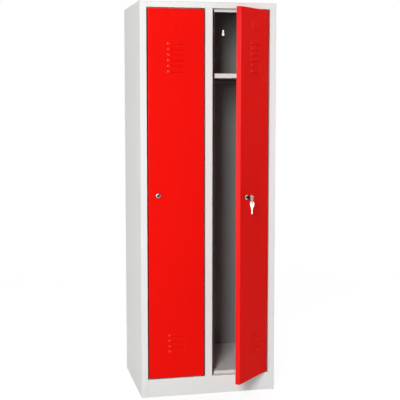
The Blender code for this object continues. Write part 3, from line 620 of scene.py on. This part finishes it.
lockLook = {
    "collar": 0.0115, "stand": 0.009, "nose": 0.0036, "noseSteps": 9, "seat": 0.0003, "foot": 0.0004,
    "mouth": 0.0077, "mouthRound": 0.0005, "mouthFrom": 110, "mouthSteps": 4, "ledge": 0.004, "bore": 0.0062,
    "barrel": 0.0088, "tail": 0.0265, "thread": 0.00028, "threadPitch": 0.0014, "threadFrom": 0.0012,
    "threadSteps": 4, "segments": 72, "crease": 50.0,
}


def fromLock(local, side):
    # along the door, up and outward from the skin become x, z and minus y at the lock's axis
    return hang(lockPlace + local[:, [0, 2, 1]] * (1.0, -1.0, 1.0), side)


def turned(profile, segments):
    # a closed section of radius and height carried round the third axis
    angle = np.arange(segments) * 2 * np.pi / segments
    radius, height = profile[:, 0, None], profile[:, 1, None]
    points = np.stack(np.broadcast_arrays(radius * np.cos(angle), radius * np.sin(angle), height), -1)
    return points.reshape(-1, 3), lattice(len(profile), segments, True, True)


def lockSection(look):
    # rounded collar, flat nose ring and stepped bore, then a barrel whose radius is a cosine of the depth
    nose, stand, collar, seat, foot = [look[key] for key in ("nose", "stand", "collar", "seat", "foot")]
    mouth, rim, ledge, bore, tail = [look[key] for key in ("mouth", "mouthRound", "ledge", "bore", "tail")]
    depth = np.arange(look["threadFrom"], tail, look["threadPitch"] / look["threadSteps"])
    ridge = look["barrel"] - look["thread"] * (0.5 + 0.5 * np.cos(2 * np.pi * depth / look["threadPitch"]))
    return np.concatenate((
        [(collar - foot, seat), (collar, seat + foot)],
        arcPoints((collar - nose, stand - nose), nose, 0, 90, look["noseSteps"]),
        [(mouth + rim, stand)],
        arcPoints((mouth + rim, stand - rim), rim, look["mouthFrom"], 180, look["mouthSteps"]),
        [(mouth, ledge), (bore, ledge), (bore, -tail)],
        np.column_stack((ridge, -depth))[::-1], [(look["barrel"], seat)],
    ))


housingPoints, housingFaces = turned(lockSection(lockLook), lockLook["segments"])
for side in sides:
    makePiece(f"{side}LockHousing", fromLock(housingPoints, side), housingFaces, f"{side}_door",
              "chrome_plate", [f"{side}_lock_housing"], lockLook["crease"])
print("locks turned")


# keys

keyLook = {
    "shoulder": 0.0114, "bowLength": 0.030, "bowWidth": 0.024, "thick": 0.002, "square": 2.7, "taper": 0.35,
    "holeRadius": 0.0036, "holeEdge": 0.0075, "segments": 72, "panel": 0.00028, "edge": 0.00045, "ease": 0.3,
    "plateShares": (0.0, 0.03, 0.09, 0.3, 0.36, 0.74, 0.8, 0.93, 0.98, 1.0),
    "blade": 0.028, "bladeWidth": 0.0066, "bladeThick": 0.94, "root": 0.002, "bladeSteps": 120,
    "cuts": (0.0012, 0.0021, 0.0007, 0.0017, 0.001), "firstCut": 0.0085, "cutPitch": 0.0031, "cutSlope": 1.25,
    "point": 0.0036, "pointPower": 0.8, "groove": 0.0004, "cheekEdge": 0.75,
    "bladeShares": (0.0, 0.06, 0.3, 0.36, 0.5, 0.56, 0.94, 1.0),
    "darkEnds": (0.012, 0.018), "wear": 0.7, "crease": 40.0,
}


def thereAndBack(shares, face):
    # a section's upper half, and the same mirrored below on the way back
    return np.concatenate((shares, shares[::-1])), np.concatenate((face, -face[::-1]))


def keyBow(look):
    # a plate section swept between a round hole and a superellipse outline, its middle pressed in a little
    angle = np.linspace(0, 2 * np.pi, look["segments"], endpoint=False)
    circle = np.column_stack((np.cos(angle), np.sin(angle)))
    length, edge, panel, eased = look["bowLength"], look["edge"], look["panel"], look["edge"] * look["ease"]
    outline = np.sign(circle) * np.abs(circle) ** (2.0 / look["square"])
    outline = (outline + (1.0, 0.0)) * (length / 2, look["bowWidth"] / 2)
    outline[:, 1] *= 1 - look["taper"] * (1 - outline[:, 0] / length) ** 2
    hole = circle * look["holeRadius"] + (length - look["holeEdge"], 0.0)
    drop = np.array([edge, eased, 0.0, 0.0, panel, panel, 0.0, 0.0, eased, edge])
    share, face = thereAndBack(np.array(look["plateShares"]), look["thick"] / 2 - drop)
    share, face = share[:, None], face[:, None]
    across = [hole[:, axis] * (1 - share) + outline[:, axis] * share for axis in (0, 1)]
    points = np.stack(np.broadcast_arrays(*across, face), -1)
    return points.reshape(-1, 3), lattice(len(share), len(angle), True, True)


def keyBlade(look):
    # a bar with a milled groove on both cheeks; wedge cuts notch one edge, and a power curve points the end
    along = np.linspace(look["root"], -look["blade"], look["bladeSteps"])[:, None]
    half, thick = look["bladeWidth"] / 2, look["thick"] / 2 * look["bladeThick"]
    centres = -look["firstCut"] - look["cutPitch"] * np.arange(len(look["cuts"]))
    notch = np.array(look["cuts"]) - np.abs(along - centres) * look["cutSlope"]
    point = np.clip((along + look["blade"]) / look["point"], 0.0, 1.0) ** look["pointPower"]
    top = (half - np.clip(notch, 0, None).max(1, keepdims=True)) * point
    edge, groove = thick * look["cheekEdge"], thick - look["groove"]
    cheek = np.array([edge, thick, thick, groove, groove, thick, thick, edge])
    share, cheek = thereAndBack(np.array(look["bladeShares"]), cheek)
    across = -half * point * (1 - share) + top * share
    points = np.stack(np.broadcast_arrays(along, across, cheek), -1)
    return points.reshape(-1, 3), tube(*across.shape)


def wholeKey(look):
    # bow and blade in one mesh, along the first axis from the shoulder, flat in the first two
    bow, bowFaces = keyBow(look)
    blade, bladeFaces = keyBlade(look)
    shifted = [[index + len(bow) for index in face] for face in bladeFaces]
    return np.concatenate((bow, blade)), bowFaces.tolist() + shifted


def inLock(points, look):
    # the key's thickness lies along the door, its width stands up and its length comes out from the shoulder
    return fromLock(points[:, [2, 1, 0]] + (0.0, 0.0, look["shoulder"]), "right")


def hanging(points, look):
    # the key's length goes up, its width out from the door and its thickness along it, below its box's top
    place = boxMiddle("spare_key")
    place[2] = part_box("spare_key")[1].z - look["bowLength"]
    return place + points @ np.stack((upward, doorOut, doorAlong))


keyPoints, keyFaces = wholeKey(keyLook)
# painted shade on the key in the lock: full over the blade and neck, easing to a smaller share over the bow; the
# spare key has none
tarnish = 1 - (1 - keyLook["wear"]) * smoothRise(keyPoints[:, 0], *keyLook["darkEnds"])
makePiece("doorKey", inLock(keyPoints, keyLook), keyFaces, "right_lock", "nickel_plate", ["door_key"],
          keyLook["crease"], {"tarnish": tarnish})
makePiece("spareKey", hanging(keyPoints, keyLook), keyFaces, "hanging_key", "nickel_plate", ["spare_key"],
          keyLook["crease"])
print("keys cut")


# ring

ringLook = {
    "wire": 0.00055, "radius": 0.0095, "spread": 0.0011, "opening": 0.35, "crossover": 0.5, "steps": 120,
    "sides": 10, "crease": 60.0,
}
domeAngles = np.radians((15, 40, 65))  # rings of a wire's rounded tip


def wireAlong(path, across, look):
    # a round section along a path, with across square to the path's plane; both tips close as domes
    first, last = path[0] - path[1], path[-1] - path[-2]
    rise, fall = look["wire"] * np.sin(domeAngles)[:, None], np.cos(domeAngles)
    head = path[0] + first / np.linalg.norm(first) * rise[::-1]
    tail = path[-1] + last / np.linalg.norm(last) * rise
    radius = look["wire"] * np.concatenate((fall[::-1], np.ones(len(path)), fall))
    path = np.concatenate((head, path, tail))
    ahead = np.gradient(path, axis=0)
    side = np.cross(ahead, across)
    side /= np.linalg.norm(side, axis=1, keepdims=True)
    over = np.cross(side, ahead)
    over /= np.linalg.norm(over, axis=1, keepdims=True)
    angle = np.arange(look["sides"])[:, None] * 2 * np.pi / look["sides"]
    section = side[:, None] * np.cos(angle) + over[:, None] * np.sin(angle)
    points = path[:, None] + section * radius[:, None, None]
    return points.reshape(-1, 3), tube(len(path), look["sides"])


def splitRing(look):
    # two turns of a circle whose plane moves over by one wire half way along
    angle = np.linspace(look["opening"], 4 * np.pi - look["opening"], look["steps"])[:, None]
    over = smoothRise(angle, 2 * np.pi - look["crossover"], 2 * np.pi + look["crossover"]) - 0.5
    circle = look["radius"] * (np.cos(angle) * doorAlong + np.sin(angle) * upward)
    return wireAlong(boxMiddle("key_ring") + circle + look["spread"] * over * doorOut, doorOut, look)


makePiece("splitRing", *splitRing(ringLook), "ring", "nickel_plate", ["key_ring"], ringLook["crease"])
print("ring wound")


# ground welds at the front seams

seamLook = {
    "width": 0.0009, "depth": 0.0008, "crown": 0.00003, "skin": 0.00002, "joint": 0.00015, "inset": 0.0004,
    "steps": 24, "across": 7, "crease": 60.0,
}


def seamRuns(look):
    # first and last point of each seam: beside both uprights, along the top's edges and over the post's ends
    joint, inset = look["joint"], look["inset"]
    post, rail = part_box("centre_post")[1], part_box("top_rail")[1]
    railFoot, railTop, plinthTop = post.z + joint, rail.z + joint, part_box("plinth_rail")[1].z + joint
    runs = []
    for side in (-1, 1):
        x, outer = side * (rail.x + joint), side * cadHigh.x
        runs.append(((x, frontPlane, railFoot + inset), (x, frontPlane, railTop - inset)))
        runs.append(((x, frontPlane, inset), (x, frontPlane, plinthTop - inset)))
        runs.append(((outer, frontPlane + inset, railTop), (outer, cadHigh.y - inset, railTop)))
    for z in (railFoot, plinthTop):
        runs.append(((inset - post.x, frontPlane, z), (post.x - inset, frontPlane, z)))
    runs.append(((cadLow.x + inset, frontPlane, railTop), (cadHigh.x - inset, frontPlane, railTop)))
    return np.array(runs)


def groundSeams(look):
    # a flat strip with a faint crown, as wide as the joint and its eased edges, carried along each seam
    runs = seamRuns(look)
    first, length = runs[:, 0], runs[:, 1] - runs[:, 0]
    way = length / np.linalg.norm(length, axis=1, keepdims=True)
    alongSide = np.abs(way[:, 1:2]) > 0.5
    out = np.where(alongSide, np.sign(first) * (1.0, 0.0, 0.0), (0.0, -1.0, 0.0))
    over = np.cross(way, out)
    share = np.linspace(-0.5, 0.5, look["across"])[:, None]
    sink = look["crown"] * (2 * share) ** 2 + look["skin"]
    face = share * look["width"] * over[:, None] - sink * out[:, None]
    back = share[::-1] * look["width"] * over[:, None] - look["depth"] * out[:, None]
    section = np.concatenate((face, back), 1)
    path = first[:, None] + length[:, None] * np.linspace(0, 1, look["steps"])[:, None]
    points = path[:, :, None] + section[:, None]
    rows, columns = points.shape[1:3]
    faces = [quad for run in range(len(runs)) for quad in tube(rows, columns, run * rows * columns)]
    return points.reshape(-1, 3), faces


makePiece("groundSeams", *groundSeams(seamLook), "cabinet", "body_paint", (), seamLook["crease"])
print("seams ground")


# coat hooks

hookLook = {
    "wire": 0.0022, "loop": 0.0117, "drop": 0.034, "bend": 0.014, "loopFrom": 285.0, "tip": 200.0,
    "lap": 0.004, "arcSteps": 40, "shankSteps": 5, "sides": 14, "crease": 60.0,
}


def hookPath(look, x, rail):
    # most of a loop over the rail, a straight shank down and a deep hook forward
    loop = arcPoints((0.0, 0.0), look["loop"], look["loopFrom"], 0.0, look["arcSteps"])
    fall = np.linspace(-look["lap"], look["lap"] - look["drop"], look["shankSteps"])
    shank = np.column_stack((np.full(len(fall), look["loop"]), fall))
    bendCentre = look["loop"] - look["bend"], -look["drop"]
    bend = arcPoints(bendCentre, look["bend"], 0.0, -look["tip"], look["arcSteps"])
    flat = np.concatenate((loop, shank, bend)) + rail[1:]
    return np.column_stack((np.full(len(flat), x), flat))


for side in sides:
    for letter in "ab":
        hook = f"{side}_coat_hook_{letter}"
        path = hookPath(hookLook, boxMiddle(hook)[0], boxMiddle(f"{side}_coat_rail"))
        makePiece(f"{side}Hook{letter.upper()}", *wireAlong(path, (1.0, 0.0, 0.0), hookLook),
                  f"{side}_hook_{letter}", "zinc_plate", [hook], hookLook["crease"])
print("hooks bent")


# stage

floorLook = {
    "colour": (0.5, 0.5, 0.5), "size": 8.0, "glow": 0.56, "veil": 0.5, "fade": (0.9, 3.2), "specular": 0.1,
    "drift": (3.0, 4.0), "driftTones": (0.99, 1.01), "rough": 0.8, "fibre": (200.0, 2.0), "fibreRough": 0.1,
}
surroundLook = {
    "rear": 1.0, "overhead": 0.3, "rearDim": (0.3, 0.65),
    "near": 0.5, "overheadNear": 0.03, "nearDim": (0.05, 0.3), "turn": (0.3, 0.88),
}
white = (1.0, 1.0, 1.0, 1.0)


def layFloor(look):
    # a square of pale paper that glows a little and thins out into the surround with distance
    half = look["size"] / 2
    mesh = bpy.data.meshes.new("studioFloor")
    corners = [(-half, -half, 0), (half, -half, 0), (half, half, 0), (-half, half, 0)]
    mesh.from_pydata(corners, [], [(0, 1, 2, 3)])
    glow = {"Emission Color": white, "Emission Strength": look["glow"]}
    coat = Finish("palePaper", {"Specular IOR Level": look["specular"], **glow})
    spot = coat.place()
    drift = coat.noise(spot, *look["drift"])
    tone = coat.blend(drift, *[shade(look["colour"], tone) for tone in look["driftTones"]])
    rough = look["rough"] + coat.noise(spot, *look["fibre"]) * look["fibreRough"]
    far = coat.add("ShaderNodeVectorMath", {"operation": "LENGTH"}, {0: spot}, 1)
    alpha = (1 - coat.step(far, *look["fade"])) * look["veil"]
    mesh.materials.append(coat.feed(colour=tone, rough=rough, alpha=alpha))
    floor = bpy.data.objects.new("studioFloor", mesh)
    bpy.context.scene.collection.objects.link(floor)


def lightStudio(look):
    # the surround is white behind the object and pale on the viewer's side, and both dim overhead
    world = bpy.data.worlds.new("studio")
    world.use_nodes = True
    bpy.context.scene.world = world
    graph = Graph(world.node_tree)
    away, up = graph.parts(graph.add("ShaderNodeTexCoord"))[1:]
    rear = look["rear"] - graph.step(up, *look["rearDim"]) * (look["rear"] - look["overhead"])
    near = look["near"] - graph.step(up, *look["nearDim"]) * (look["near"] - look["overheadNear"])
    background = world.node_tree.nodes["Background"]
    background.inputs["Color"].default_value = white
    graph.plug(background.inputs["Strength"], near + (rear - near) * graph.step(away, *look["turn"]))


softboxes = {
    "keyBox": {
        "place": (-1.62, -3.95, 2.3), "aim": (-0.2, -0.25, 0.85), "size": (1.0, 1.8),
        "power": 88.5, "spread": 130.0,
    },
    "fillBox": {
        "place": (2.9, -0.7, 2.4), "aim": (0.2, -0.3, 1.4), "size": (0.9, 1.2),
        "power": 28.0, "spread": 180.0,
    },
    "sideBox": {
        "place": (-4.2, -1.5, 1.15), "aim": (0.1, -0.4, 1.1), "size": (1.0, 2.1),
        "power": 29.0, "spread": 180.0,
    },
    "topBox": {
        "place": (0.0, 1.2, 7.0), "aim": (0.0, 0.6, 0.0), "size": (5.0, 5.0),
        "power": 320.0, "spread": 180.0,
    },
}


def hangSoftboxes(boxes):
    # each lamp is a rectangle at its place, turned to face its aim
    for name, box in boxes.items():
        lamp = bpy.data.lights.new(name, "AREA")
        lamp.shape, lamp.size, lamp.size_y, lamp.energy = "RECTANGLE", *box["size"], box["power"]
        lamp.spread = math.radians(box["spread"])
        holder = bpy.data.objects.new(name, lamp)
        bpy.context.scene.collection.objects.link(holder)
        holder.location = box["place"]
        aim = Vector(box["aim"]) - Vector(box["place"])
        holder.rotation_euler = aim.to_track_quat("-Z", "Y").to_euler()


photoView = {
    "turn": 12.4332, "dip": 5.2072, "distance": 4.4795, "sideways": -0.0128, "height": 1.3837,
    "focalPixels": 932.74, "framePixels": 400.0, "sensor": 36.0, "shift": -0.05,
}


def setCamera(view):
    # the camera stands back along its heading and a little aside, and dips towards the object
    turn = math.radians(view["turn"])
    ahead = np.array([math.sin(turn), math.cos(turn)])
    across = np.array([math.cos(turn), -math.sin(turn)])
    data = bpy.data.cameras.new("photoCamera")
    data.sensor_width = view["sensor"]
    data.lens = view["focalPixels"] / view["framePixels"] * view["sensor"]
    data.shift_y = view["shift"]
    camera = bpy.data.objects.new("photoCamera", data)
    bpy.context.scene.collection.objects.link(camera)
    camera.location = (*(-view["distance"] * ahead - view["sideways"] * across), view["height"])
    camera.rotation_euler = (math.radians(90 - view["dip"]), 0.0, -turn)
    bpy.context.scene.camera = camera


layFloor(floorLook)
lightStudio(surroundLook)
hangSoftboxes(softboxes)
setCamera(photoView)
bpy.context.scene.view_settings.view_transform = "Standard"
print("stage set")
